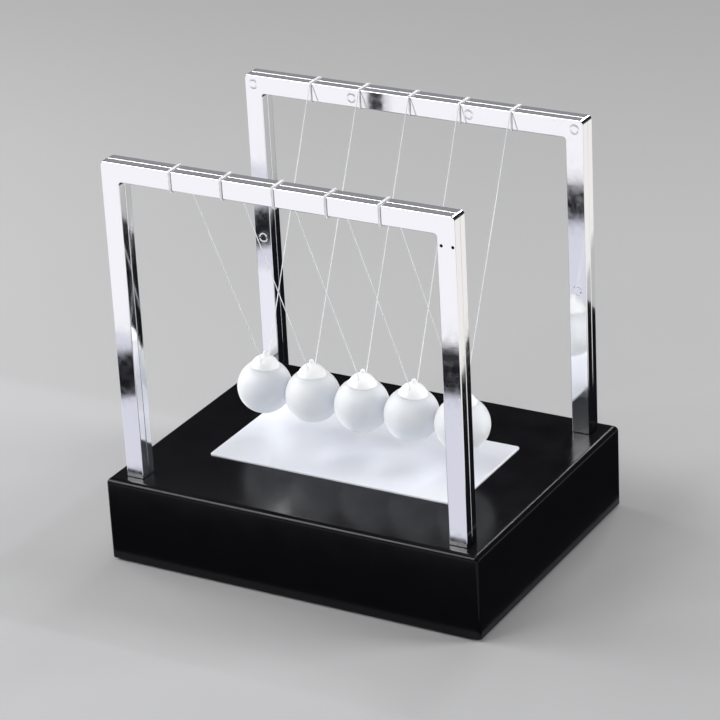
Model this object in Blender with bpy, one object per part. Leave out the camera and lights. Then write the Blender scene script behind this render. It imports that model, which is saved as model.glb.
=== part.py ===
"""Desk newton's cradle with a lit base.

Frame: metres, +X along the row of balls, +Y from the front frame to the rear
frame, +Z up. The origin is the middle of the footprint, on the desk.
"""
import math

import bmesh
import bpy
from mathutils import Vector

MM = 0.001
GAP = 0.3 * MM                 # clearance kept between touching pieces

# --- driving dimensions -----------------------------------------------------
BASE_WIDTH = 180 * MM          # X
BASE_DEPTH = 135.6 * MM        # Y
BASE_HEIGHT = 38 * MM          # Z, housing only
FOOT_PROUD = 1.2 * MM          # how far the rubber feet lift the housing
EDGE_RADIUS = 2.5 * MM         # rounding round the top of the housing
CORNER_RADIUS = 1.5 * MM       # rounding of its upright edges
WALL = 2.5 * MM
SCREW_POST_RADIUS = 4 * MM     # posts that the cover is screwed to
SCREW_POST_HOLE = 11 * MM      # depth of the hole up each post
BOARD_POST_RADIUS = 2.5 * MM
STAKE_RADIUS = 1.0 * MM        # pins on the board posts, melted over the board

PLATE_WIDTH = 121 * MM         # the light diffuser let into the top
PLATE_DEPTH = 60 * MM
PLATE_PROUD = 0.7 * MM
PLATE_THICK = 2.2 * MM
PLATE_RIM = 5 * MM             # ledge that the diffuser rests on
PLATE_CORNER = 1.5 * MM

FRAME_WIDTH = 165 * MM         # outside, across both legs
FRAME_HEIGHT = 145 * MM        # from the housing's top to the bar's top
FRAME_BAR = 8.5 * MM           # square section of legs and bar
FRAME_FRONT_Y = 62 * MM        # outer face of each frame from the middle
FRAME_WALL = 1.4 * MM
OUTER_CORNER = 1.8 * MM
INNER_CORNER = 1.5 * MM
SEAM = 0.2 * MM                # between the two half shells of a frame

BALL_COUNT = 5
BALL_PITCH = 24.4 * MM
BALL_DIAMETER = 24.2 * MM
BALL_CENTRE_HEIGHT = 22.6 * MM  # above the housing's top
LINE_DIAMETER = 0.45 * MM
CAP_SPREAD = 3.0 * MM          # where the line bends into the cap, from the axis
CAP_RIM = 0.52                 # the cap's rim, tip and line hole as shares of the ball's radius
CAP_TIP = 1.38
CAP_HOLE = 1.12
STEM_RADIUS = 1.5 * MM
STEM_LENGTH = 5.0 * MM         # below the ball's top

CELL_DIAMETER = 10.5 * MM      # AAA cell
CELL_LENGTH = 44.5 * MM
CELL_PITCH = 11.0 * MM

# --- places worked out from them --------------------------------------------
HOUSING_BOTTOM = FOOT_PROUD
HOUSING_TOP = FOOT_PROUD + BASE_HEIGHT
FRAME_TOP = HOUSING_TOP + FRAME_HEIGHT
LEG_X = (FRAME_WIDTH - FRAME_BAR) / 2
LEG_Y = FRAME_FRONT_Y - FRAME_BAR / 2
BALL_RADIUS = BALL_DIAMETER / 2
BALL_Z = HOUSING_TOP + BALL_CENTRE_HEIGHT
BALL_XS = [(i - (BALL_COUNT - 1) / 2) * BALL_PITCH for i in range(BALL_COUNT)]
CAP_HOLE_Z = BALL_Z + CAP_HOLE * BALL_RADIUS

LEG_BOTTOM = HOUSING_TOP + GAP
TENON = 7.0 * MM
TENON_LENGTH = 10.0 * MM
TENON_BOTTOM = HOUSING_TOP - TENON_LENGTH
SOCKET_DEPTH = TENON_LENGTH + 0.5 * MM
BOSS = 12.5 * MM
BOSS_BOTTOM = HOUSING_TOP - SOCKET_DEPTH - 4 * MM
LEG_SCREW_RADIUS = 1.3 * MM
LEG_SCREW_HEAD = 2.6 * MM
HEAD_GAP = 0.15 * MM           # between each screw's head and what it holds
LEG_SCREW_BITE = 7.5 * MM      # how far it runs up inside the tenon

WRAP_GAP = 0.1 * MM
WRAP_THICK = 0.45 * MM
WRAP_WIDTH = 1.4 * MM
LINE_END_Y = FRAME_FRONT_Y - FRAME_BAR - WRAP_GAP - WRAP_THICK - 0.35 * MM

COVER_THICK = 2.5 * MM
COVER_TOP = HOUSING_BOTTOM + COVER_THICK
COVER_SCREW_AT = (56 * MM, 57 * MM)
COVER_SCREW_RADIUS = 1.2 * MM
COVER_SCREW_LENGTH = 10 * MM
COVER_SCREW_HEAD = 2.5 * MM    # radius
COVER_SEAT = HOUSING_BOTTOM + 1.6 * MM   # underside of the sunk screw heads
HEAD_CLEARANCE = 0.5 * MM
FOOT_AT = (76 * MM, 53 * MM)
FOOT_RADIUS = 6 * MM
FOOT_RECESS = 0.8 * MM
FOOT_CHAMFER = 0.5 * MM

DOOR_THICK = 1.8 * MM
DOOR_LEDGE = 3 * MM            # how far the door's seat reaches past the bay
BAY_LENGTH = 52 * MM           # inside of the battery bay, X
BAY_WIDTH = 3 * CELL_PITCH + 1 * MM
BAY_WALL = 1.5 * MM
BAY_ROOF = HOUSING_BOTTOM + DOOR_THICK + GAP + CELL_DIAMETER + 0.8 * MM
CELL_Z = HOUSING_BOTTOM + DOOR_THICK + GAP + CELL_DIAMETER / 2

BOARD = (124 * MM, 46 * MM, 1.6 * MM)
BOARD_TOP = HOUSING_TOP - 14 * MM
STAKE_AT = (58.5 * MM, 18 * MM)
LED_XS = (-28 * MM, 28 * MM)
WIRE_RADIUS = 0.7 * MM
SHEET = 0.5 * MM               # spring sheet of the contacts
PIP_RADIUS = 1.5 * MM

SWITCH_X = 40 * MM
SWITCH_Z = HOUSING_BOTTOM + 16 * MM
SWITCH_TRAVEL = 3 * MM
KNOB = (3.0 * MM, 2.3 * MM, 3.0 * MM)
SWITCH_BODY = (12 * MM, 5.5 * MM, 6.4 * MM)


# --- small tools --------------------------------------------------------------
def clear_scene():
    for thing in list(bpy.data.objects):
        bpy.data.objects.remove(thing, do_unlink=True)
    for mesh in list(bpy.data.meshes):
        bpy.data.meshes.remove(mesh)


def material(name, colour, roughness, metallic=0.0):
    """One Principled material, made once and then reused."""
    found = bpy.data.materials.get(name)
    if found:
        return found
    made = bpy.data.materials.new(name)
    made.use_nodes = True
    shader = made.node_tree.nodes["Principled BSDF"]
    shader.inputs["Base Color"].default_value = (*colour, 1.0)
    shader.inputs["Roughness"].default_value = roughness
    shader.inputs["Metallic"].default_value = metallic
    return made


def add(name, mesh_builder, finish, at=(0, 0, 0), smooth=False):
    """Turns a bmesh into a named object standing at a place."""
    mesh = bpy.data.meshes.new(name)
    mesh_builder.to_mesh(mesh)
    mesh_builder.free()
    if smooth:
        mesh.shade_smooth()
        mesh.set_sharp_from_angle(angle=math.radians(35))
    piece = bpy.data.objects.new(name, mesh)
    piece.location = at
    bpy.context.scene.collection.objects.link(piece)
    if finish:
        mesh.materials.append(finish)
    return piece


def boolean(piece, other, operation):
    """Cuts or joins another solid, which stays behind as a hidden guide."""
    step = piece.modifiers.new(operation.lower(), "BOOLEAN")
    step.operation = operation
    step.solver = "EXACT"
    step.object = other
    other.hide_render = True
    other.display_type = "WIRE"


def cut(piece, *tools):
    for tool in tools:
        boolean(piece, tool, "DIFFERENCE")


def join(piece, *others):
    for other in others:
        boolean(piece, other, "UNION")


def box_mesh(low, high):
    """A box between two corners."""
    shape = bmesh.new()
    bmesh.ops.create_cube(shape, size=1.0)
    middle = (Vector(low) + Vector(high)) / 2
    size = Vector(high) - Vector(low)
    for corner in shape.verts:
        corner.co = middle + Vector(c * s for c, s in zip(corner.co, size))
    return shape


def box(name, low, high, finish=None):
    return add(name, box_mesh(low, high), finish)


def prism(outline, start, end, axis="Z"):
    """Extrudes a closed outline along an axis; the outline's pairs fill the other two."""
    shape = bmesh.new()

    def place(pair, level):
        first, second = pair
        if axis == "Z":
            return (first, second, level)
        if axis == "Y":
            return (first, level, second)
        return (level, first, second)

    face = shape.faces.new([shape.verts.new(place(pair, start)) for pair in outline])
    grown = bmesh.ops.extrude_face_region(shape, geom=[face])
    top = [item for item in grown["geom"] if isinstance(item, bmesh.types.BMVert)]
    shift = Vector(place((0, 0), end - start))
    bmesh.ops.translate(shape, verts=top, vec=shift)
    bmesh.ops.recalc_face_normals(shape, faces=shape.faces)
    return shape


def rounded_rectangle(width, depth, radius, steps=3, centre=(0, 0)):
    """Outline of a rectangle with round corners, anticlockwise."""
    points = []
    for quarter, (sx, sy) in enumerate(((1, 1), (-1, 1), (-1, -1), (1, -1))):
        cx = centre[0] + sx * (width / 2 - radius)
        cy = centre[1] + sy * (depth / 2 - radius)
        for step in range(steps + 1):
            angle = math.radians(90 * quarter + 90 * step / steps)
            points.append((cx + radius * math.cos(angle), cy + radius * math.sin(angle)))
    return points


def layers(rings):
    """Closed solid through outlines of equal length, each with its height, from below up."""
    shape = bmesh.new()
    stack = [[shape.verts.new((x, y, height)) for x, y in outline] for outline, height in rings]
    shape.faces.new(stack[0])
    shape.faces.new(stack[-1])
    for lower, upper in zip(stack, stack[1:]):
        for i, corner in enumerate(lower):
            shape.faces.new((corner, lower[i - 1], upper[i - 1], upper[i]))
    bmesh.ops.recalc_face_normals(shape, faces=shape.faces)
    return shape


def circle(radius, sides, centre=(0, 0)):
    return [(centre[0] + radius * math.cos(2 * math.pi * i / sides),
             centre[1] + radius * math.sin(2 * math.pi * i / sides)) for i in range(sides)]


def rod(name, radius, low, high, at=(0, 0), sides=16, axis="Z", finish=None):
    """A round rod along an axis, at a place across it."""
    return add(name, prism(circle(radius, sides, at), low, high, axis), finish, smooth=True)


def turned(name, profile, finish, at=(0, 0, 0), sides=24):
    """Spins a profile of (radius, height), listed from its top on the axis to its bottom."""
    shape = bmesh.new()
    rim = [shape.verts.new((radius, 0, height)) for radius, height in profile]
    edges = [shape.edges.new(pair) for pair in zip(rim, rim[1:])]
    bmesh.ops.spin(shape, geom=rim + edges, cent=(0, 0, 0), axis=(0, 0, 1),
                   angle=2 * math.pi, steps=sides, use_merge=True)
    bmesh.ops.remove_doubles(shape, verts=shape.verts, dist=0.001 * MM)
    bmesh.ops.recalc_face_normals(shape, faces=shape.faces)
    return add(name, shape, finish, at, smooth=True)


def tube(name, points, radius, finish, parent=None):
    """A wire or line: a round tube along a list of points."""
    curve = bpy.data.curves.new(name, "CURVE")
    curve.dimensions = "3D"
    curve.bevel_depth = radius
    curve.bevel_resolution = 2
    curve.use_fill_caps = True
    spline = curve.splines.new("POLY")
    spline.points.add(len(points) - 1)
    for knot, place in zip(spline.points, points):
        knot.co = (*place, 1.0)
    curve.materials.append(finish)
    piece = bpy.data.objects.new(name, curve)
    bpy.context.scene.collection.objects.link(piece)
    piece.parent = parent
    return piece


def smooth_route(corners, steps=5):
    """Points on a smooth curve through the corners (Catmull-Rom)."""
    ends = [Vector(corners[0])] + [Vector(c) for c in corners] + [Vector(corners[-1])]
    points = []
    for before, start, end, after in zip(ends, ends[1:], ends[2:], ends[3:]):
        for step in range(steps):
            t = step / steps
            points.append(0.5 * (2 * start + (end - before) * t
                                 + (2 * before - 5 * start + 4 * end - after) * t ** 2
                                 + (3 * start - before - 3 * end + after) * t ** 3))
    return points + [Vector(corners[-1])]


def corners_of(place):
    """The four mirror places of (x, y), numbered front-left, front-right, rear-left, rear-right."""
    return [(sx * place[0], sy * place[1]) for sy in (-1, 1) for sx in (-1, 1)]


# --- finishes -----------------------------------------------------------------
def black_plastic():
    return material("black_plastic", (0.012, 0.012, 0.014), 0.18)


def black_matt():
    return material("black_matt", (0.02, 0.02, 0.02), 0.55)


def chrome():
    return material("chrome_plating", (0.86, 0.87, 0.88), 0.06, 1.0)


def white_plate():
    return material("white_diffuser", (0.86, 0.88, 0.90), 0.22)


def frosted():
    return material("frosted_acrylic", (0.80, 0.82, 0.85), 0.35)


def white_cap():
    return material("white_cap", (0.90, 0.90, 0.89), 0.30)


def nylon():
    return material("nylon_line", (0.80, 0.80, 0.78), 0.35)


def rubber():
    return material("rubber", (0.03, 0.03, 0.03), 0.85)


def steel():
    return material("zinc_steel", (0.60, 0.60, 0.62), 0.30, 1.0)


def nickel():
    return material("nickel_contact", (0.72, 0.70, 0.66), 0.25, 1.0)


def board_green():
    return material("board_green", (0.03, 0.16, 0.07), 0.45)


def led_clear():
    return material("led_clear", (0.85, 0.90, 0.95), 0.10)


def cell_jacket():
    return material("cell_jacket", (0.55, 0.40, 0.12), 0.35)


def insulation(name, colour):
    return material(name, colour, 0.5)


# --- base -----------------------------------------------------------------------
def housing():
    """Black shell, open below: round-edged box, light window, leg sockets and screw posts."""
    rings = [(rounded_rectangle(BASE_WIDTH, BASE_DEPTH, CORNER_RADIUS), HOUSING_BOTTOM)]
    for angle in (0, 22.5, 45, 67.5, 90):
        inset = EDGE_RADIUS * (1 - math.cos(math.radians(angle)))
        rise = EDGE_RADIUS * math.sin(math.radians(angle))
        outline = rounded_rectangle(BASE_WIDTH - 2 * inset, BASE_DEPTH - 2 * inset,
                                    max(CORNER_RADIUS - inset / 2, 0.2 * MM))
        rings.append((outline, HOUSING_TOP - EDGE_RADIUS + rise))
    shell = add("base_housing", layers(rings), black_plastic())

    inside = (BASE_WIDTH / 2 - WALL, BASE_DEPTH / 2 - WALL)
    ceiling = HOUSING_TOP - WALL
    cut(shell, box("cut_inside", (-inside[0], -inside[1], HOUSING_BOTTOM - GAP),
                   (inside[0], inside[1], ceiling)))
    for number, (x, y) in enumerate(corners_of((LEG_X, LEG_Y)), 1):
        half = BOSS / 2
        join(shell, box(f"leg_boss_{number}", (x - half, y - half, BOSS_BOTTOM),
                        (x + half, y + half, ceiling + WALL / 2)))
    for number, (x, y) in enumerate(corners_of(COVER_SCREW_AT), 1):
        join(shell, rod(f"screw_post_{number}", SCREW_POST_RADIUS, COVER_TOP + GAP,
                        ceiling + WALL / 2, (x, y), sides=12))
    for number, (x, y) in enumerate(corners_of(STAKE_AT), 1):
        join(shell, rod(f"board_post_{number}", BOARD_POST_RADIUS, BOARD_TOP + GAP,
                        ceiling + WALL / 2, (x, y), sides=12))
        join(shell, rod(f"board_stake_{number}", STAKE_RADIUS, BOARD_TOP - BOARD[2] - STAKE_RADIUS,
                        BOARD_TOP + MM, (x, y), sides=8))
    cut_housing(shell)
    return shell


def cut_housing(shell):
    """Window and ledge for the diffuser, leg sockets, screw holes, switch slot."""
    seat = rounded_rectangle(PLATE_WIDTH + 2 * GAP, PLATE_DEPTH + 2 * GAP, PLATE_CORNER)
    seat_floor = HOUSING_TOP + PLATE_PROUD - PLATE_THICK - GAP
    cut(shell, add("cut_seat", prism(seat, seat_floor, HOUSING_TOP + MM), None))
    window = rounded_rectangle(PLATE_WIDTH - 2 * PLATE_RIM, PLATE_DEPTH - 2 * PLATE_RIM,
                               PLATE_CORNER)
    cut(shell, add("cut_window", prism(window, HOUSING_TOP - 2 * WALL, HOUSING_TOP), None))
    for number, (x, y) in enumerate(corners_of((LEG_X, LEG_Y)), 1):
        half = TENON / 2 + GAP
        cut(shell, box(f"cut_socket_{number}", (x - half, y - half, HOUSING_TOP - SOCKET_DEPTH),
                       (x + half, y + half, HOUSING_TOP + MM)))
        cut(shell, rod(f"cut_leg_screw_{number}", LEG_SCREW_RADIUS + GAP, BOSS_BOTTOM - MM,
                       HOUSING_TOP - SOCKET_DEPTH + MM, (x, y), sides=12))
    for number, (x, y) in enumerate(corners_of(COVER_SCREW_AT), 1):
        cut(shell, rod(f"cut_post_{number}", COVER_SCREW_RADIUS + GAP, HOUSING_BOTTOM,
                       COVER_TOP + SCREW_POST_HOLE, (x, y), sides=10))
    slot = (KNOB[0] + SWITCH_TRAVEL) / 2 + GAP
    middle = SWITCH_X + SWITCH_TRAVEL / 2
    cut(shell, box("cut_switch", (middle - slot, BASE_DEPTH / 2 - 2 * WALL,
                                  SWITCH_Z - KNOB[2] / 2 - GAP),
                   (middle + slot, BASE_DEPTH / 2 + MM, SWITCH_Z + KNOB[2] / 2 + GAP)))


def bottom_cover():
    """Flat cover inside the walls, with the battery bay moulded on it and a door opening."""
    width = BASE_WIDTH - 2 * WALL - 2 * GAP
    depth = BASE_DEPTH - 2 * WALL - 2 * GAP
    cover = box("bottom_cover", (-width / 2, -depth / 2, HOUSING_BOTTOM),
                (width / 2, depth / 2, COVER_TOP), black_matt())
    bay = (BAY_LENGTH / 2, BAY_WIDTH / 2)
    join(cover, box("bay_walls", (-bay[0] - BAY_WALL, -bay[1] - BAY_WALL, HOUSING_BOTTOM + MM),
                    (bay[0] + BAY_WALL, bay[1] + BAY_WALL, BAY_ROOF + BAY_WALL)))
    cut(cover, box("cut_bay", (-bay[0], -bay[1], HOUSING_BOTTOM - MM), (bay[0], bay[1], BAY_ROOF)))
    seat = (bay[0] + DOOR_LEDGE, bay[1] + DOOR_LEDGE)
    cut(cover, box("cut_door_seat", (-seat[0], -seat[1], HOUSING_BOTTOM - MM),
                   (seat[0], seat[1], HOUSING_BOTTOM + DOOR_THICK + GAP)))
    for number, (x, y) in enumerate(corners_of(COVER_SCREW_AT), 1):
        cut(cover, rod(f"cut_cover_head_{number}", COVER_SCREW_HEAD + HEAD_CLEARANCE,
                       HOUSING_BOTTOM - MM, COVER_SEAT, (x, y), sides=16))
        cut(cover, rod(f"cut_cover_shank_{number}", COVER_SCREW_RADIUS + GAP, HOUSING_BOTTOM,
                       COVER_TOP + MM, (x, y), sides=12))
    for number, (x, y) in enumerate(corners_of(FOOT_AT), 1):
        cut(cover, rod(f"cut_foot_{number}", FOOT_RADIUS + GAP, HOUSING_BOTTOM - MM,
                       HOUSING_BOTTOM + FOOT_RECESS, (x, y), sides=24))
    return cover


def rubber_feet():
    for number, (x, y) in enumerate(corners_of(FOOT_AT), 1):
        top = HOUSING_BOTTOM + FOOT_RECESS - GAP
        profile = [(0, top), (FOOT_RADIUS, top), (FOOT_RADIUS, FOOT_CHAMFER),
                   (FOOT_RADIUS - FOOT_CHAMFER, 0), (0, 0)]
        turned(f"rubber_foot_{number}", profile, rubber(), (x, y, 0))


def screw(name, place, seat, length, shank, head):
    """Pan-head screw driven upwards; seat is the height of the underside of its head."""
    height = 0.5 * head
    profile = [(0, length), (0.6 * shank, length), (shank, length - shank), (shank, 0),
               (head, 0), (head, -0.5 * height), (0.7 * head, -height), (0, -height)]
    body = turned(name, profile, steel(), (place[0], place[1], seat), sides=12)
    arm, width = 0.6 * head, 0.18 * head
    depth = seat - height + 0.55 * height
    for turn, (dx, dy) in enumerate(((arm, width), (width, arm)), 1):
        cut(body, box(f"cut_{name}_{turn}", (place[0] - dx, place[1] - dy, seat - height - MM),
                      (place[0] + dx, place[1] + dy, depth)))


def screws():
    for number, place in enumerate(corners_of(COVER_SCREW_AT), 1):
        screw(f"cover_screw_{number}", place, COVER_SEAT - HEAD_GAP, COVER_SCREW_LENGTH,
              COVER_SCREW_RADIUS, COVER_SCREW_HEAD)
    for number, place in enumerate(corners_of((LEG_X, LEG_Y)), 1):
        length = HOUSING_TOP - SOCKET_DEPTH - BOSS_BOTTOM + LEG_SCREW_BITE
        screw(f"leg_screw_{number}", place, BOSS_BOTTOM - HEAD_GAP, length,
              LEG_SCREW_RADIUS, LEG_SCREW_HEAD)


def light_diffuser():
    """White plate: a slightly round-edged slab on the ledge of the window."""
    outline = rounded_rectangle(PLATE_WIDTH, PLATE_DEPTH, PLATE_CORNER)
    top = HOUSING_TOP + PLATE_PROUD
    shape = prism(outline, top - PLATE_THICK, top)
    rim = [edge for edge in shape.edges if all(abs(v.co.z - top) < 0.01 * MM for v in edge.verts)]
    bmesh.ops.bevel(shape, geom=rim, offset=0.35 * MM, segments=2, profile=0.5, affect="EDGES")
    add("light_diffuser", shape, white_plate())


# --- lighting -------------------------------------------------------------------
def light_board():
    """Circuit board under the diffuser, held on four heat-staked posts."""
    board = box("light_board", (-BOARD[0] / 2, -BOARD[1] / 2, BOARD_TOP - BOARD[2]),
                (BOARD[0] / 2, BOARD[1] / 2, BOARD_TOP), board_green())
    for number, (x, y) in enumerate(corners_of(STAKE_AT), 1):
        cut(board, rod(f"cut_stake_{number}", STAKE_RADIUS + GAP, BOARD_TOP - 2 * BOARD[2],
                       BOARD_TOP + MM, (x, y), sides=12))


def leds():
    """Round 5 mm lamps with a flange and a domed top."""
    radius, flange, straight = 2.5 * MM, 2.9 * MM, 5.5 * MM
    dome = [(radius * math.sin(math.radians(a)), straight + radius * math.cos(math.radians(a)))
            for a in (0, 30, 60, 90)]
    profile = dome + [(radius, 1.0 * MM), (flange, 1.0 * MM), (flange, 0), (0, 0)]
    for number, x in enumerate(LED_XS, 1):
        turned(f"led_{number}", profile, led_clear(), (x, 0, BOARD_TOP + GAP), sides=16)


def switch():
    """Slide switch behind the rear wall, with its knob standing in the slot."""
    middle = SWITCH_X + SWITCH_TRAVEL / 2
    inner_wall = BASE_DEPTH / 2 - WALL
    width, depth, height = SWITCH_BODY
    body = box("switch_body", (middle - width / 2, inner_wall - depth, SWITCH_Z - height / 2),
               (middle + width / 2, inner_wall - GAP, SWITCH_Z + height / 2), steel())
    slot = (KNOB[0] + SWITCH_TRAVEL) / 2 + GAP
    cut(body, box("cut_switch_body", (middle - slot, inner_wall - 3 * MM,
                                      SWITCH_Z - KNOB[2] / 2 - GAP),
                  (middle + slot, inner_wall + MM, SWITCH_Z + KNOB[2] / 2 + GAP)))
    low = (SWITCH_X - KNOB[0] / 2, inner_wall - 2.5 * MM, SWITCH_Z - KNOB[2] / 2)
    high = (SWITCH_X + KNOB[0] / 2, inner_wall + KNOB[1], SWITCH_Z + KNOB[2] / 2)
    knob = box_mesh(low, high)
    for corner in knob.verts:
        corner.co -= Vector((SWITCH_X, 0, 0))
    add("switch_slider", knob, black_matt(), (SWITCH_X, 0, 0))


# --- batteries --------------------------------------------------------------------
def cell_ways():
    """Each cell's (y, direction): +1 has its positive end at +X."""
    return [((i - 1) * CELL_PITCH, 1 if i != 1 else -1) for i in range(3)]


def batteries():
    nub, nub_length = 1.9 * MM, 0.8 * MM
    half = CELL_LENGTH / 2
    profile = [(0, half), (nub, half), (nub, half - nub_length),
               (CELL_DIAMETER / 2, half - nub_length), (CELL_DIAMETER / 2, -half), (0, -half)]
    for number, (y, way) in enumerate(cell_ways(), 1):
        cell = turned(f"battery_{number}", profile, cell_jacket(), (0, y, CELL_Z), sides=20)
        cell.rotation_euler = (0, way * math.pi / 2, 0)


def contact(name, side, cells):
    """Sheet contact at one end of the bay, over one or two cells: a pip meets a positive
    end and a bent leaf meets a negative end."""
    back = side * (BAY_LENGTH / 2 - 0.2 * MM)
    face = back - side * SHEET
    ys = [y for y, _ in cells]
    reach_out = 3.5 * MM
    low = (min(back, face), min(ys) - reach_out, CELL_Z - reach_out)
    high = (max(back, face), max(ys) + reach_out, CELL_Z + reach_out)
    plate = box(name, low, high, nickel())
    reach = side * (CELL_LENGTH / 2 + 0.35 * MM)
    for y, way in cells:
        if way == side:
            ends = sorted((face + side * 0.2 * MM, reach))
            join(plate, rod(f"pip_{name}", PIP_RADIUS, *ends, at=(y, CELL_Z), sides=12, axis="X"))
        else:
            join(plate, leaf(f"leaf_{name}", y, side, face, reach))


def leaf(name, y, side, face, reach):
    """A leaf bent out of the sheet, from its top edge down to the cell's flat end."""
    inside = face + side * 0.25 * MM
    half = 1.5 * MM
    outline = [(inside, CELL_Z + 3.0 * MM), (reach, CELL_Z + 0.3 * MM), (reach, CELL_Z - 0.8 * MM),
               (reach + side * SHEET, CELL_Z - 0.8 * MM), (reach + side * SHEET, CELL_Z + 0.1 * MM),
               (inside, CELL_Z + 2.3 * MM)]
    return add(name, prism(outline, y - half, y + half, "Y"), None)


def contacts():
    first, second, third = cell_ways()
    contact("contact_positive", 1, [first])
    contact("contact_bridge_right", 1, [second, third])
    contact("contact_bridge_left", -1, [first, second])
    contact("contact_negative", -1, [third])


def battery_door():
    """Loose panel that closes the bay from below."""
    ledge = DOOR_LEDGE - GAP
    half = (BAY_LENGTH / 2 + ledge, BAY_WIDTH / 2 + ledge)
    outline = rounded_rectangle(2 * half[0], 2 * half[1], 0.5 * MM, steps=2)
    door = add("battery_door", prism(outline, HOUSING_BOTTOM, HOUSING_BOTTOM + DOOR_THICK),
               black_matt())
    cut(door, box("cut_finger", (half[0] - 8 * MM, -6 * MM, HOUSING_BOTTOM - MM),
                  (half[0] - 5 * MM, 6 * MM, HOUSING_BOTTOM + 0.9 * MM)))


def wires():
    """Three insulated leads: battery to switch, switch to board, battery to board."""
    red = insulation("red_insulation", (0.5, 0.02, 0.02))
    black = insulation("black_insulation", (0.02, 0.02, 0.02))
    bay_side = BAY_LENGTH / 2 + BAY_WALL + 2 * MM
    under_board = BOARD_TOP - BOARD[2] - 1.2 * MM
    switch_back = BASE_DEPTH / 2 - WALL - 6.6 * MM
    floor = COVER_TOP + 2 * MM
    tube("wire_battery_to_switch",
         smooth_route([(bay_side, -CELL_PITCH, CELL_Z + 2 * MM), (bay_side + 6 * MM, -4 * MM, floor),
                       (bay_side + 12 * MM, 25 * MM, floor), (42 * MM, 48 * MM, floor + 2 * MM),
                       (43.5 * MM, switch_back, SWITCH_Z)]), WIRE_RADIUS, red)
    tube("wire_switch_to_board",
         smooth_route([(38 * MM, switch_back, SWITCH_Z), (36 * MM, 48 * MM, SWITCH_Z + 1 * MM),
                       (34 * MM, 34 * MM, SWITCH_Z + 2 * MM), (33 * MM, 18 * MM, under_board)]),
         WIRE_RADIUS, red)
    tube("wire_battery_to_board",
         smooth_route([(-bay_side, CELL_PITCH, CELL_Z + 2 * MM), (-bay_side - 5 * MM, 12 * MM, 12 * MM),
                       (-bay_side - 6 * MM, 10 * MM, 18 * MM), (-36 * MM, 8 * MM, under_board)]),
         WIRE_RADIUS, black)


# --- frames -------------------------------------------------------------------------
def arch(half_width, top, leg, bar, bottom, outer_radius, inner_radius, steps=4):
    """Outline of an upside-down U in X and Z, with round outer and inner corners."""
    def bend(cx, cz, radius, start, sweep):
        return [(cx + radius * math.cos(math.radians(start + sweep * i / steps)),
                 cz + radius * math.sin(math.radians(start + sweep * i / steps)))
                for i in range(steps + 1)]

    inside = half_width - leg
    under = top - bar
    points = [(-half_width, bottom)]
    points += bend(-half_width + outer_radius, top - outer_radius, outer_radius, 180, -90)
    points += bend(half_width - outer_radius, top - outer_radius, outer_radius, 90, -90)
    points += [(half_width, bottom), (inside, bottom)]
    points += bend(inside - inner_radius, under - inner_radius, inner_radius, 0, 90)
    points += bend(-inside + inner_radius, under - inner_radius, inner_radius, 90, 90)
    points += [(-inside, bottom)]
    return points


def half_shell(name, face, seam_face):
    """Channel-section half of a frame: an arch hollowed out from its seam side."""
    body = arch(FRAME_WIDTH / 2, FRAME_TOP, FRAME_BAR, FRAME_BAR, LEG_BOTTOM, OUTER_CORNER,
                INNER_CORNER)
    shell = add(name, prism(body, *sorted((face, seam_face)), "Y"), chrome())
    wall = FRAME_WALL
    groove = arch(FRAME_WIDTH / 2 - wall, FRAME_TOP - wall, FRAME_BAR - 2 * wall,
                  FRAME_BAR - 2 * wall, LEG_BOTTOM + 3 * MM, OUTER_CORNER - wall, INNER_CORNER + wall)
    inward = 1 if seam_face > face else -1
    ends = sorted((face + inward * wall, seam_face + inward * MM))
    cut(shell, add(f"cut_groove_{name}", prism(groove, *ends, "Y"), None))
    return shell


def peg_places():
    """Where the pegs stand that line the halves up: both corners, the bar, each leg."""
    high = FRAME_TOP - FRAME_BAR / 2
    middle = HOUSING_TOP + FRAME_HEIGHT / 2
    bar = 1.17 * BALL_PITCH
    return [(-LEG_X, high), (-bar, high), (bar, high), (LEG_X, high), (-LEG_X, middle),
            (LEG_X, middle)]


def frame(side, label):
    """One chrome frame: outer half away from the balls, inner half with pegs and tenons."""
    outer = side * FRAME_FRONT_Y
    inner = side * (FRAME_FRONT_Y - FRAME_BAR)
    middle = side * LEG_Y
    half_shell(f"{label}_frame_outer_half", outer, middle + side * SEAM / 2)
    shell = half_shell(f"{label}_frame_inner_half", inner, middle - side * SEAM / 2)
    for number, (x, z) in enumerate(peg_places(), 1):
        ends = sorted((inner + side * FRAME_WALL / 2, outer - side * (FRAME_WALL + GAP)))
        join(shell, rod(f"peg_{label}_{number}", 1.5 * MM, *ends, at=(x, z), sides=10, axis="Y"))
    root_near, root_far = sorted((middle - side * SEAM / 2, inner + side * (FRAME_BAR - TENON) / 2))
    half = TENON / 2
    for number, x in enumerate((-LEG_X, LEG_X), 1):
        join(shell, box(f"tenon_{label}_{number}", (x - half, middle - half, TENON_BOTTOM),
                        (x + half, middle + half, HOUSING_TOP)),
             box(f"tenon_root_{label}_{number}", (x - half, root_near, HOUSING_TOP - MM),
                 (x + half, root_far, LEG_BOTTOM + MM)))
        cut(shell, rod(f"cut_tenon_{label}_{number}", LEG_SCREW_RADIUS + GAP / 2,
                       TENON_BOTTOM - MM, HOUSING_TOP - SOCKET_DEPTH + LEG_SCREW_BITE + 0.5 * MM,
                       (x, middle), sides=12))


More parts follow.
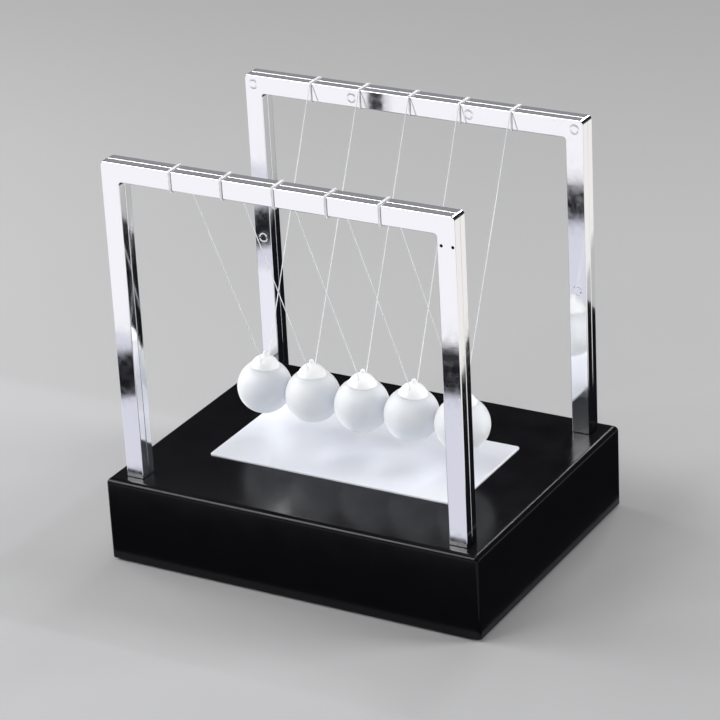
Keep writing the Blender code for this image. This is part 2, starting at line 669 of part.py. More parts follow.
def line_wraps():
    """The turns of line round each bar: a flat band at every ball's place."""
    for side, label in ((-1, "front"), (1, "rear")):
        centre = (side * LEG_Y, FRAME_TOP - FRAME_BAR / 2)
        inner = FRAME_BAR + 2 * WRAP_GAP
        outer = inner + 2 * WRAP_THICK
        for number, x in enumerate(BALL_XS, 1):
            ends = (x - WRAP_WIDTH / 2, x + WRAP_WIDTH / 2)
            name = f"line_wrap_{label}_{number}"
            band = add(name, prism(rounded_rectangle(outer, outer, WRAP_THICK, 2, centre),
                                   *ends, "X"), nylon())
            hole = prism(rounded_rectangle(inner, inner, 0.05 * MM, 1, centre),
                         ends[0] - MM, ends[1] + MM, "X")
            cut(band, add(f"cut_{name}", hole, None))


# --- balls ----------------------------------------------------------------------------
def ball_profile():
    """Half circle with a blind hole down its top for the cap's stem."""
    hole, depth, steps = STEM_RADIUS + GAP, STEM_LENGTH + 0.5 * MM, 12
    start = math.asin(hole / BALL_RADIUS)
    arc = [(BALL_RADIUS * math.sin(start + (math.pi - start) * i / steps),
            BALL_RADIUS * math.cos(start + (math.pi - start) * i / steps))
           for i in range(steps)]
    return [(0, BALL_RADIUS - depth), (hole, BALL_RADIUS - depth)] + arc + [(0, -BALL_RADIUS)]


def cap_profile():
    """Flat cone with a small knob over the ball's top, hollow to the ball's curve, with a stem."""
    r = BALL_RADIUS
    near = r + GAP / 2
    rim, tip = CAP_RIM * r, CAP_TIP * r
    knob = [(0, tip), (0.06 * r, tip - 0.01 * r), (0.10 * r, tip - 0.05 * r),
            (0.11 * r, tip - 0.11 * r), (0.14 * r, tip - 0.16 * r)]
    rim_top = math.sqrt(near ** 2 - rim ** 2) + 0.3 * MM
    outer = knob + [(rim - 0.02 * r, rim_top + 0.02 * r), (rim, rim_top)]
    under = [(rad, math.sqrt(near ** 2 - rad ** 2)) for rad in (rim, 0.36 * r, STEM_RADIUS)]
    return outer + under + [(STEM_RADIUS, r - STEM_LENGTH), (0, r - STEM_LENGTH)]


def balls():
    """Five frosted balls, each with its cap and its line, on a pivot between the bars."""
    ball_shape, cap_shape = ball_profile(), cap_profile()
    for number, x in enumerate(BALL_XS, 1):
        pivot = bpy.data.objects.new(f"pivot_{number}", None)
        pivot.location = (x, 0, FRAME_TOP)
        bpy.context.scene.collection.objects.link(pivot)
        hang = (0, 0, BALL_Z - FRAME_TOP)
        ball = turned(f"ball_{number}", ball_shape, frosted(), hang, sides=24)
        cap = turned(f"ball_cap_{number}", cap_shape, white_cap(), hang, sides=20)
        hole = rod(f"cut_line_hole_{number}", LINE_DIAMETER / 2 + 0.25 * MM, -8 * MM, 8 * MM,
                   at=(0, CAP_HOLE_Z - FRAME_TOP), sides=10, axis="Y")
        cut(cap, hole)
        route = [(0, -LINE_END_Y, 0), (0, -CAP_SPREAD, CAP_HOLE_Z - FRAME_TOP),
                 (0, CAP_SPREAD, CAP_HOLE_Z - FRAME_TOP), (0, LINE_END_Y, 0)]
        line = tube(f"suspension_line_{number}", route, LINE_DIAMETER / 2, nylon())
        for piece in (ball, cap, hole, line):
            piece.parent = pivot


def main():
    clear_scene()
    housing()
    bottom_cover()
    rubber_feet()
    screws()
    light_diffuser()
    light_board()
    leds()
    switch()
    batteries()
    contacts()
    battery_door()
    wires()
    frame(-1, "front")
    frame(1, "rear")
    line_wraps()
    balls()


main()
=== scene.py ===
import math

import bmesh
import bpy
from mathutils import Matrix, Vector


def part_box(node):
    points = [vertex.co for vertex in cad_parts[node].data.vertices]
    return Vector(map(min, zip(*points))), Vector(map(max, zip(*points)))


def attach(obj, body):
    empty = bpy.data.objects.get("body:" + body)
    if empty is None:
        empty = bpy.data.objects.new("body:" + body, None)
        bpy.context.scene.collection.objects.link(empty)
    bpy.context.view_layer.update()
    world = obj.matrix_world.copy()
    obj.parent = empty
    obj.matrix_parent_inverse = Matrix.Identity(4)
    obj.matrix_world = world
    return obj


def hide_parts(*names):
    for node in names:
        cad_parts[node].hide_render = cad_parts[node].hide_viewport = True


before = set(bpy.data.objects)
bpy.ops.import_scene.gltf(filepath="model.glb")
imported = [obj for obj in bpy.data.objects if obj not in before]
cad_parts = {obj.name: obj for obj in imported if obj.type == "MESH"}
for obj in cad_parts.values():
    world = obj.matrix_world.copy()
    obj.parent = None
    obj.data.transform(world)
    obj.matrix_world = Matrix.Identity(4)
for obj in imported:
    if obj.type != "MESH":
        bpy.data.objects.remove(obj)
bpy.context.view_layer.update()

MM = 0.001

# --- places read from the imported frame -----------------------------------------
BASE_LOW, BASE_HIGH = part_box("base_housing")
PLATE_LOW, PLATE_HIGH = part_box("light_diffuser")
ARCH_LOW, ARCH_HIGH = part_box("front_frame_outer_half")
INNER_LOW, INNER_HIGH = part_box("front_frame_inner_half")

FRAME_TOP = ARCH_HIGH.z
LEG_BOTTOM = ARCH_LOW.z
HALF_WIDTH = ARCH_HIGH.x
OUTER_Y = -ARCH_LOW.y                       # outer faces of both frames, from the middle
INNER_Y = -INNER_HIGH.y                     # inner faces, those that look at the balls
BAR = OUTER_Y - INNER_Y                     # square section of legs and bars
LEG_X = HALF_WIDTH - BAR / 2
LEG_Y = OUTER_Y - BAR / 2
BAR_Z = FRAME_TOP - BAR / 2
TENON_BOTTOM = INNER_LOW.z
BALL_NUMBERS = range(1, 6)
BALL_CENTRES = {n: sum(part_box(f"ball_{n}"), Vector()) / 2 for n in BALL_NUMBERS}
BALL_RADIUS = 12.1 * MM
BALL_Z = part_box("ball_3")[0].z + BALL_RADIUS

# --- details finer than the frame's ---------------------------------------------
BASE_EDGE = 2.5 * MM                        # rounding round the housing's top
BASE_CORNER = 1.5 * MM                      # rounding of its upright edges
BASE_WALL = 2.5 * MM
PLATE_CORNER = 1.5 * MM
PLATE_EDGE = 0.45 * MM
SEAT_GAP = 0.3 * MM                         # round the plate, and round each tenon
FOOT_PLACE = (76 * MM, 53 * MM)             # (x, y) of the feet and of the cover's screws
SCREW_PLACE = (56 * MM, 57 * MM)
SWITCH_TRAVEL = 3 * MM
PLATE_RIM = 5 * MM
ARCH_EDGE = 0.4 * MM                        # rounding along the frames' long edges
SEAM_EDGE = 0.25 * MM                       # rounding on both sides of the seam
DRAFT = 0.06 * MM                           # how far each half narrows from seam to face
SEAM_GAP = 0.2 * MM
ARCH_OUTER = 1.8 * MM                       # corners of the arch, outside and inside
ARCH_INNER = 1.5 * MM
SHELL_WALL = 1.4 * MM
PINHOLE_RADIUS = 0.7 * MM                   # two moulding holes at the front arch's right corner
PINHOLES_X = (LEG_X - 2.3 * MM, LEG_X + 2.8 * MM)
PINHOLES_Z = FRAME_TOP - 13 * MM
MARK_RADIUS, MARK_WIDTH, MARK_DEPTH = 1.9 * MM, 0.8 * MM, 0.07 * MM
PEG_STATION = 1.17                          # of the ball pitch, from the bar's middle
PEG_HEIGHT = 0.467                          # of the leg's height over the base
TENON = 7.0 * MM
LINE_RADIUS = 0.2 * MM
CAP_HOLE = 1.12 * BALL_RADIUS               # height of the line's hole over the ball's middle
CAP_SPREAD = 3.0 * MM                       # where the line leaves that hole, from the middle
CAP_LEAN = {1: 5.0, 2: 1.0, 3: 4.5, 4: 6.5, 5: 2.0}   # degrees towards +X

# --- viewpoint and stage ----------------------------------------------------------
AZIMUTH, ELEVATION = math.radians(30.41), math.radians(24.30)
ROLL = math.radians(-3.05)
AIM = Vector((0.15 * MM, 0, 82.8 * MM))
VIEW_DISTANCE = 1347 * MM
LENS = 157.3                                # millimetres, on a sensor 36 mm wide
FLOOR_RADIUS = 7.0
FLOOR_COLOUR = (0.42, 0.42, 0.425)


# --- mesh tools --------------------------------------------------------------------
def piece_from(name, shape, *finishes, sharp=35, weighted=True):
    """Makes an object of a bmesh, smooth shaded but for edges sharper than an angle."""
    mesh = bpy.data.meshes.new(name)
    shape.to_mesh(mesh)
    shape.free()
    for finish in finishes:
        mesh.materials.append(finish)
    mesh.shade_smooth()
    mesh.set_sharp_from_angle(angle=math.radians(sharp))
    piece = bpy.data.objects.new(name, mesh)
    bpy.context.scene.collection.objects.link(piece)
    if weighted:
        normals = piece.modifiers.new("flat_faces_stay_flat", "WEIGHTED_NORMAL")
        normals.keep_sharp = True
        normals.weight = 80
    return piece


def settle(body, riding, slot, *nodes):
    """Says what a finished piece moves with and hides the frame's solids that it stands for; slot is not
    used.
    """
    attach(body, riding)
    if nodes:
        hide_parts(*nodes)
    return body


def carve(target, tool, operation="DIFFERENCE", finish_index=None):
    """Applies one Boolean of bmesh tool on bmesh target, and gives the new bmesh.
    Faces that the tool makes take finish_index."""
    meshes = []
    for name, shape in (("target", target), ("tool", tool)):
        mesh = bpy.data.meshes.new(name)
        bmesh.ops.recalc_face_normals(shape, faces=shape.faces)
        shape.to_mesh(mesh)
        shape.free()
        meshes.append(mesh)
    if finish_index is not None:
        for mesh, index in ((meshes[0], 0), (meshes[1], finish_index)):
            while len(mesh.materials) <= finish_index:
                mesh.materials.append(None)
            if index:
                for face in mesh.polygons:
                    face.material_index = index
    holders = [bpy.data.objects.new(mesh.name, mesh) for mesh in meshes]
    for holder in holders:
        bpy.context.scene.collection.objects.link(holder)
    step = holders[0].modifiers.new("carve", "BOOLEAN")
    step.operation = operation
    step.solver = "EXACT"
    step.object = holders[1]
    bpy.context.view_layer.update()
    shown = holders[0].evaluated_get(bpy.context.evaluated_depsgraph_get())
    result = bmesh.new()
    result.from_mesh(shown.data)
    for holder in holders:
        bpy.data.objects.remove(holder)
    for mesh in meshes:
        bpy.data.meshes.remove(mesh)
    return result


def loft(rings):
    """Closed solid through rings of equal length, with flat ends."""
    shape = bmesh.new()
    stack = [[shape.verts.new(point) for point in ring] for ring in rings]
    shape.faces.new(stack[0])
    shape.faces.new(stack[-1])
    for lower, upper in zip(stack, stack[1:]):
        for i, corner in enumerate(lower):
            shape.faces.new((corner, lower[i - 1], upper[i - 1], upper[i]))
    bmesh.ops.recalc_face_normals(shape, faces=shape.faces)
    return shape


def rounded_rectangle(half_x, half_y, radius, steps=8):
    """Outline of a rectangle with round corners, anticlockwise, about its middle."""
    points = []
    for quarter, (sx, sy) in enumerate(((1, 1), (-1, 1), (-1, -1), (1, -1))):
        for step in range(steps + 1):
            angle = math.radians(90 * (quarter + step / steps))
            points.append((sx * (half_x - radius) + radius * math.cos(angle),
                           sy * (half_y - radius) + radius * math.sin(angle)))
    return points


def slab(low, high, corner, edge=0.0, edge_steps=5):
    """Upright slab with round corners, its top edge rounded too where edge is given."""
    middle = (Vector(low) + Vector(high)) / 2
    half = (Vector(high) - Vector(low)) / 2
    levels = [(0.0, low[2])]
    if edge:
        turns = [math.radians(90 * i / edge_steps) for i in range(edge_steps + 1)]
        levels += [(edge * (1 - math.cos(a)), high[2] - edge + edge * math.sin(a)) for a in turns]
    else:
        levels.append((0.0, high[2]))
    rings = []
    for inset, z in levels:
        radius = max(corner - inset, 0.05 * MM)
        outline = rounded_rectangle(half.x - inset, half.y - inset, radius)
        rings.append([(middle.x + x, middle.y + y, z) for x, y in outline])
    return loft(rings)


def block(low, high):
    """A plain box between two corners."""
    return loft([[(low[0], low[1], z), (high[0], low[1], z), (high[0], high[1], z),
                  (low[0], high[1], z)] for z in (low[2], high[2])])


def turned(profile, sides=64):
    """Spins (radius, height) pairs, from the top on the axis to the bottom on the axis."""
    shape = bmesh.new()
    rim = [shape.verts.new((radius, 0, height)) for radius, height in profile]
    edges = [shape.edges.new(pair) for pair in zip(rim, rim[1:])]
    bmesh.ops.spin(shape, geom=rim + edges, cent=(0, 0, 0), axis=(0, 0, 1),
                   angle=2 * math.pi, steps=sides, use_merge=True)
    bmesh.ops.remove_doubles(shape, verts=shape.verts, dist=0.0005 * MM)
    bmesh.ops.recalc_face_normals(shape, faces=shape.faces)
    return shape


def rod(radius, low, high, place=(0, 0), axis="Z", sides=48):
    """A round rod from low to high along an axis, at a place across it."""
    shape = turned([(0, high), (radius, high), (radius, low), (0, low)], sides)
    turn = {"Z": Matrix(), "Y": Matrix.Rotation(-math.pi / 2, 4, "X"),
            "X": Matrix.Rotation(math.pi / 2, 4, "Y")}[axis]
    shift = {"Z": (*place, 0), "Y": (place[0], 0, place[1]), "X": (0, *place)}[axis]
    shape.transform(Matrix.Translation(shift) @ turn)
    return shape


def tube(points, radius, sides=10, closed=False):
    """A round tube along points, turned as little as possible from ring to ring."""
    shape = bmesh.new()
    points = [Vector(p) for p in points]
    count = len(points)
    rings = []
    side = None
    for i, here in enumerate(points):
        if closed:
            along = points[(i + 1) % count] - points[i - 1]
        else:
            along = points[min(i + 1, count - 1)] - points[max(i - 1, 0)]
        along.normalize()
        if side is None:
            side = along.orthogonal().normalized()
        side = (side - along * side.dot(along)).normalized()
        up = along.cross(side)
        ring = []
        for j in range(sides):
            angle = 2 * math.pi * j / sides
            ring.append(shape.verts.new(here + radius * (math.cos(angle) * side
                                                         + math.sin(angle) * up)))
        rings.append(ring)
    pairs = list(zip(rings, rings[1:]))
    if closed:
        pairs.append((rings[-1], rings[0]))
    for lower, upper in pairs:
        for j in range(sides):
            shape.faces.new((lower[j], lower[j - 1], upper[j - 1], upper[j]))
    if not closed:
        shape.faces.new(rings[0])
        shape.faces.new(rings[-1])
    bmesh.ops.recalc_face_normals(shape, faces=shape.faces)
    return shape


def merged(*shapes):
    """Several bmeshes as one."""
    whole = bmesh.new()
    for shape in shapes:
        mesh = bpy.data.meshes.new("part")
        shape.to_mesh(mesh)
        shape.free()
        whole.from_mesh(mesh)
        bpy.data.meshes.remove(mesh)
    return whole


def mirror_places(x, y):
    """The four mirror places of (x, y), numbered front-left, front-right, rear-left, rear-right."""
    return list(enumerate([(sx * x, sy * y) for sy in (-1, 1) for sx in (-1, 1)], 1))


# --- materials -----------------------------------------------------------------------
class Finish:
    """A Principled material with small helpers for noise-driven roughness and relief."""

    def __init__(self, name, colour, roughness, metallic=0.0, **sockets):
        self.material = bpy.data.materials.new(name)
        self.material.use_nodes = True
        self.tree = self.material.node_tree
        self.shader = self.tree.nodes["Principled BSDF"]
        self.set("Base Color", (*colour, 1.0))
        self.set("Roughness", roughness)
        self.set("Metallic", metallic)
        for socket, value in sockets.items():
            self.set(socket.replace("_", " "), value)
        self.place = self.node("ShaderNodeTexCoord").outputs["Object"]
        self.relief = None

    def set(self, socket, value):
        self.shader.inputs[socket].default_value = value

    def node(self, kind, **values):
        made = self.tree.nodes.new(kind)
        for key, value in values.items():
            setattr(made, key, value)
        return made

    def link(self, start, end):
        self.tree.links.new(start, end)

    def noise(self, size, detail=3.0, stretch=(1, 1, 1)):
        """Noise whose blotches measure about size, in metres."""
        mapping = self.node("ShaderNodeMapping")
        mapping.inputs["Scale"].default_value = stretch
        self.link(self.place, mapping.inputs["Vector"])
        noise = self.node("ShaderNodeTexNoise")
        noise.inputs["Scale"].default_value = 1.0 / size
        noise.inputs["Detail"].default_value = detail
        self.link(mapping.outputs["Vector"], noise.inputs["Vector"])
        return noise.outputs["Fac"]

    def ramp(self, value, low, high):
        """Spreads a 0.3..0.7 noise over low..high."""
        spread = self.node("ShaderNodeMapRange")
        spread.inputs["From Min"].default_value = 0.3
        spread.inputs["From Max"].default_value = 0.7
        spread.inputs["To Min"].default_value = low
        spread.inputs["To Max"].default_value = high
        self.link(value, spread.inputs["Value"])
        return spread.outputs["Result"]

    def vary_roughness(self, size, low, high, **noise):
        """Lets noise move the roughness about low..high."""
        self.link(self.ramp(self.noise(size, **noise), low, high),
                  self.shader.inputs["Roughness"])
        return self

    def vary_colour(self, size, one, other, **noise):
        """Lets noise mix two colours."""
        mix = self.node("ShaderNodeMix", data_type="RGBA")
        mix.inputs[6].default_value = (*one, 1.0)
        mix.inputs[7].default_value = (*other, 1.0)
        self.link(self.ramp(self.noise(size, **noise), 0.0, 1.0), mix.inputs[0])
        self.link(mix.outputs[2], self.shader.inputs["Base Color"])
        return self

    def bump(self, height, depth, strength=1.0):
        """Adds relief of a depth in metres on top of what there is."""
        bump = self.node("ShaderNodeBump")
        bump.inputs["Strength"].default_value = strength
        bump.inputs["Distance"].default_value = depth
        self.link(height, bump.inputs["Height"])
        if self.relief:
            self.link(self.relief, bump.inputs["Normal"])
        self.relief = bump.outputs["Normal"]
        self.link(self.relief, self.shader.inputs["Normal"])
        return self


def black_gloss():
    """Polished black ABS: slight flow ripple, fine hairlines and a little handling haze."""
    finish = Finish("black_gloss_abs", (0.0035, 0.0035, 0.0045), 0.2, Specular_IOR_Level=0.22)
    finish.vary_roughness(14 * MM, 0.17, 0.26, detail=4.0)
    finish.bump(finish.noise(9 * MM, 1.0), 0.006 * MM)
    finish.bump(finish.noise(0.25 * MM, 2.0, (0.05, 1, 1)), 0.0006 * MM)
    return finish.material


def black_satin():
    """Spark-textured black ABS of the cover, door and knob."""
    finish = Finish("black_satin_abs", (0.022, 0.022, 0.023), 0.5, Specular_IOR_Level=0.4)
    finish.vary_roughness(6 * MM, 0.42, 0.58)
    finish.bump(finish.noise(0.35 * MM, 4.0), 0.03 * MM, 0.6)
    return finish.material


def white_acrylic():
    """Satin white diffuser plate, faintly blue."""
    finish = Finish("white_satin_acrylic", (0.78, 0.80, 0.85), 0.4, Specular_IOR_Level=0.5)
    finish.vary_colour(30 * MM, (0.76, 0.78, 0.84), (0.81, 0.825, 0.865))
    finish.vary_roughness(5 * MM, 0.36, 0.44)
    finish.bump(finish.noise(3 * MM, 2.0), 0.004 * MM)
    return finish.material


def chrome():
    """Chrome plate on moulded plastic: mirror bright, slightly wavy, faint haze spots."""
    finish = Finish("chrome_plate", (0.88, 0.885, 0.90), 0.04, metallic=1.0)
    finish.vary_roughness(3 * MM, 0.045, 0.10, detail=5.0)
    finish.bump(finish.noise(8 * MM, 2.0), 0.004 * MM)
    finish.bump(finish.noise(0.9 * MM, 3.0), 0.0005 * MM)
    return finish.material


def frosted_acrylic():
    """Sand-blasted white acrylic ball: milky, soft, with a fine frost."""
    finish = Finish("frosted_acrylic", (0.88, 0.90, 0.975), 0.5, Specular_IOR_Level=0.3)
    finish.vary_colour(16 * MM, (0.85, 0.88, 0.97), (0.905, 0.925, 0.98))
    finish.set("Subsurface Weight", 0.9)
    finish.set("Subsurface Radius", (1.0, 1.0, 1.0))
    finish.set("Subsurface Scale", 11.0 * MM)
    finish.set("Transmission Weight", 0.12)
    finish.set("Sheen Weight", 1.0)
    finish.set("Sheen Roughness", 0.5)
    finish.vary_roughness(1.2 * MM, 0.40, 0.56)
    finish.bump(finish.noise(0.22 * MM, 3.0), 0.008 * MM)
    return finish.material


def white_cap_plastic():
    """Opaque white moulded cap, satin."""
    finish = Finish("white_cap_plastic", (0.93, 0.93, 0.93), 0.35, Specular_IOR_Level=0.5)
    finish.vary_colour(4 * MM, (0.92, 0.92, 0.92), (0.95, 0.95, 0.945))
    finish.vary_roughness(1.5 * MM, 0.3, 0.45)
    finish.bump(finish.noise(0.5 * MM, 2.0), 0.004 * MM)
    return finish.material


def nylon():
    """Clear nylon monofilament, drawn milky white all over, hanging and wound alike, with a tone that varies
    at random.
    """
    finish = Finish("nylon_monofilament", (0.90, 0.90, 0.90), 0.3, Specular_IOR_Level=0.6)
    finish.vary_colour(2.5 * MM, (0.86, 0.86, 0.87), (0.94, 0.94, 0.94))
    finish.vary_roughness(1.0 * MM, 0.22, 0.38)
    return finish.material


def rubber():
    """Matt black rubber of the feet."""
    finish = Finish("black_rubber", (0.022, 0.022, 0.022), 0.8, Specular_IOR_Level=0.3)
    finish.vary_roughness(2 * MM, 0.72, 0.9)
    finish.bump(finish.noise(0.3 * MM, 3.0), 0.02 * MM)
    return finish.material


def zinc():
    """Bright zinc plate with a cool, cloudy passivation."""
    finish = Finish("zinc_plate", (0.62, 0.63, 0.66), 0.3, metallic=1.0)
    finish.vary_colour(2 * MM, (0.56, 0.57, 0.60), (0.68, 0.68, 0.70))
    finish.vary_roughness(1 * MM, 0.22, 0.42)
    return finish.material


def nickel():
    """Nickel-plated spring sheet with fine rolling lines."""
    finish = Finish("nickel_spring_sheet", (0.70, 0.68, 0.63), 0.25, metallic=1.0)
    finish.vary_roughness(0.8 * MM, 0.18, 0.36, stretch=(1, 0.1, 1))
    finish.bump(finish.noise(0.2 * MM, 2.0, (1, 0.05, 1)), 0.003 * MM)
    return finish.material


def circuit_board():
    """Green solder mask over a few broad copper runs."""
    finish = Finish("solder_mask", (0.03, 0.16, 0.07), 0.35)
    wave = finish.node("ShaderNodeTexWave", bands_direction="Y")
    wave.inputs["Scale"].default_value = 22.0
    wave.inputs["Distortion"].default_value = 0.6
    finish.link(finish.place, wave.inputs["Vector"])
    mix = finish.node("ShaderNodeMix", data_type="RGBA")
    mix.inputs[6].default_value = (0.018, 0.11, 0.045, 1)
    mix.inputs[7].default_value = (0.05, 0.22, 0.09, 1)
    step = finish.node("ShaderNodeMath", operation="GREATER_THAN")
    step.inputs[1].default_value = 0.75
    finish.link(wave.outputs["Fac"], step.inputs[0])
    finish.link(step.outputs[0], mix.inputs[0])
    finish.link(mix.outputs[2], finish.shader.inputs["Base Color"])
    finish.bump(step.outputs[0], 0.03 * MM)
    return finish.material


def clear_epoxy():
    """Clear, slightly wavy epoxy of the lamps."""
    finish = Finish("clear_epoxy", (0.9, 0.94, 1.0), 0.05, Transmission_Weight=0.85, IOR=1.5)
    finish.bump(finish.noise(2 * MM, 1.0), 0.004 * MM)
    return finish.material


def cell_jacket():
    """Plain copper-brown shrink jacket under a clear gloss."""
    finish = Finish("cell_jacket", (0.3, 0.12, 0.03), 0.3, Coat_Weight=0.6)
    finish.vary_colour(8 * MM, (0.26, 0.10, 0.03), (0.34, 0.14, 0.04))
    finish.vary_roughness(3 * MM, 0.22, 0.38)
    return finish.material


def insulation(name, colour):
    """Soft coloured PVC round a wire."""
    finish = Finish(name, colour, 0.45)
    finish.vary_roughness(1.5 * MM, 0.38, 0.55)
    return finish.material


def painted_hole_shade():
    """Painted shade: a near-black, matt inside for the moulding pinholes."""
    finish = Finish("hole_shadow", (0.004, 0.004, 0.004), 0.9, Specular_IOR_Level=0.0)
    finish.vary_roughness(1 * MM, 0.85, 0.95)
    return finish.material


BLACK = black_gloss()
SATIN = black_satin()
WHITE = white_acrylic()
CHROME = chrome()
FROST = frosted_acrylic()
CAP = white_cap_plastic()
NYLON = nylon()
RUBBER = rubber()
ZINC = zinc()
NICKEL = nickel()
BOARD = circuit_board()
EPOXY = clear_epoxy()
JACKET = cell_jacket()
RED = insulation("red_insulation_pvc", (0.42, 0.015, 0.015))
DARK_WIRE = insulation("black_insulation_pvc", (0.02, 0.02, 0.02))
HOLE_SHADE = painted_hole_shade()


# --- base ------------------------------------------------------------------------------
def housing():
    """Gloss black shell, open below, with the plate's seat, leg sockets and switch slot."""
    half = (BASE_HIGH - BASE_LOW) / 2
    steps = 10
    rings = [[(x, y, BASE_LOW.z) for x, y in rounded_rectangle(half.x, half.y, BASE_CORNER)]]
    for i in range(steps + 1):
        angle = math.radians(90 * i / steps)
        inset = BASE_EDGE * (1 - math.cos(angle))
        level = BASE_HIGH.z - BASE_EDGE + BASE_EDGE * math.sin(angle)
        radius = BASE_CORNER * (1 - 0.55 * inset / BASE_EDGE)
        rings.append([(x, y, level) for x, y in
                      rounded_rectangle(half.x - inset, half.y - inset, radius)])
    shell = loft(rings)
    wall, top = BASE_WALL, BASE_HIGH.z
    shell = carve(shell, block((-half.x + wall, -half.y + wall, BASE_LOW.z - MM),
                               (half.x - wall, half.y - wall, top - wall)))
    seat_low = Vector((PLATE_LOW.x - SEAT_GAP, PLATE_LOW.y - SEAT_GAP, PLATE_LOW.z - SEAT_GAP))
    seat_high = Vector((-seat_low.x, -seat_low.y, top + MM))
    shell = carve(shell, slab(seat_low, seat_high, PLATE_CORNER))
    window = (PLATE_HIGH.x - PLATE_RIM, PLATE_HIGH.y - PLATE_RIM)
    shell = carve(shell, slab((-window[0], -window[1], top - 2 * wall), (*window, top), PLATE_CORNER))
    for _, (x, y) in mirror_places(LEG_X, LEG_Y):
        reach = TENON / 2 + SEAT_GAP
        shell = carve(shell, block((x - reach, y - reach, top - 2 * wall),
                                   (x + reach, y + reach, top + MM)))
    knob_low, knob_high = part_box("switch_slider")
    shell = carve(shell, block((knob_low.x - SEAT_GAP, half.y - 2 * wall, knob_low.z - SEAT_GAP),
                               (knob_high.x + SWITCH_TRAVEL + SEAT_GAP, half.y + MM,
                                knob_high.z + SEAT_GAP)))
    body = piece_from("housing_shell", shell, BLACK)
    settle(body, "stand", "black_gloss", "base_housing")


def plate():
    """Satin white plate with softly rounded edges."""
    shape = slab(PLATE_LOW, PLATE_HIGH, PLATE_CORNER, edge=PLATE_EDGE)
    settle(piece_from("light_plate", shape, WHITE), "stand", "white_diffuser", "light_diffuser")


def feet():
    """Moulded rubber feet with a shallow suction dish underneath."""
    for number, (x, y) in mirror_places(*FOOT_PLACE):
        low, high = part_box(f"rubber_foot_{number}")
        radius, top = (high.x - low.x) / 2, high.z
        edge = 0.4 * MM
        profile = [(0, top), (radius, top)]
        profile += [(radius - edge + edge * math.cos(math.radians(a)),
                     edge - edge * math.sin(math.radians(a))) for a in range(0, 91, 15)]
        profile += [(0.55 * radius, 0), (0.5 * radius, 0.1 * MM), (0.3 * radius, 0.3 * MM),
                    (0, 0.35 * MM)]
        shape = turned(profile, 72)
        shape.transform(Matrix.Translation((x, y, 0)))
        settle(piece_from(f"foot_pad_{number}", shape, RUBBER), "stand", "rubber",
               f"rubber_foot_{number}")


def cover_screws():
    """Pan-head screws with a cross recess, sunk in the cover."""
    for number, (x, y) in mirror_places(*SCREW_PLACE):
        low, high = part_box(f"cover_screw_{number}")
        head = (high.x - low.x) / 2
        seat = low.z + 0.5 * head
        shank = 1.2 * MM
        profile = [(0, high.z), (0.4 * MM, high.z), (shank, high.z - 1.5 * MM)]
        pitch, level = 0.9 * MM, high.z - 1.5 * MM
        while level - pitch > seat + MM:
            profile += [(shank, level - 0.15 * MM), (0.78 * shank, level - 0.5 * pitch),
                        (shank, level - pitch + 0.15 * MM)]
            level -= pitch
        profile += [(0.8 * shank, seat), (head, seat)]
        profile += [(head * math.cos(math.radians(a)) ** 0.5, seat - 0.5 * head * a / 80)
                    for a in range(10, 81, 10)] + [(0, low.z)]
        shape = turned(profile, 48)
        for turn in (0, 90):
            blade = block((-0.55 * head, -0.12 * head, low.z - MM),
                          (0.55 * head, 0.12 * head, low.z + 0.33 * head))
            blade.transform(Matrix.Rotation(math.radians(45 + turn), 4, "Z"))
            shape = carve(shape, blade)
        shape.transform(Matrix.Translation((x, y, 0)))
        settle(piece_from(f"cross_head_screw_{number}", shape, ZINC), "stand", "zinc_steel",
               f"cover_screw_{number}")


def switch_knob():
    """Slide knob with five ridges across its outer end."""
    low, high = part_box("switch_slider")
    shape = slab(low, high, 0.2 * MM)
    count = 5
    step = (high.x - low.x) / count
    for i in range(count - 1):
        x = low.x + (i + 1) * step
        shape = carve(shape, rod(0.18 * MM, low.z - MM, high.z + MM, (x, high.y), sides=16))
    settle(piece_from("ribbed_switch_knob", shape, SATIN), "switch_knob", "black_satin",
           "switch_slider")


# --- inside ---------------------------------------------------------------------------
def lamps():
    """Clear 5 mm lamps with a flange and a dome."""
    for number in (1, 2):
        low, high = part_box(f"led_{number}")
        middle = (low + high) / 2
        radius, flange = 2.5 * MM, (high.x - low.x) / 2
        straight = high.z - radius
        profile = [(radius * math.sin(math.radians(a)), straight + radius * math.cos(math.radians(a)))
                   for a in range(0, 91, 9)]
        profile += [(radius, low.z + 1.0 * MM), (flange, low.z + 1.0 * MM), (flange, low.z), (0, low.z)]
        shape = turned(profile, 48)
        shape.transform(Matrix.Translation((middle.x, middle.y, 0)))
        settle(piece_from(f"lamp_{number}", shape, EPOXY), "stand", "led_clear", f"led_{number}")


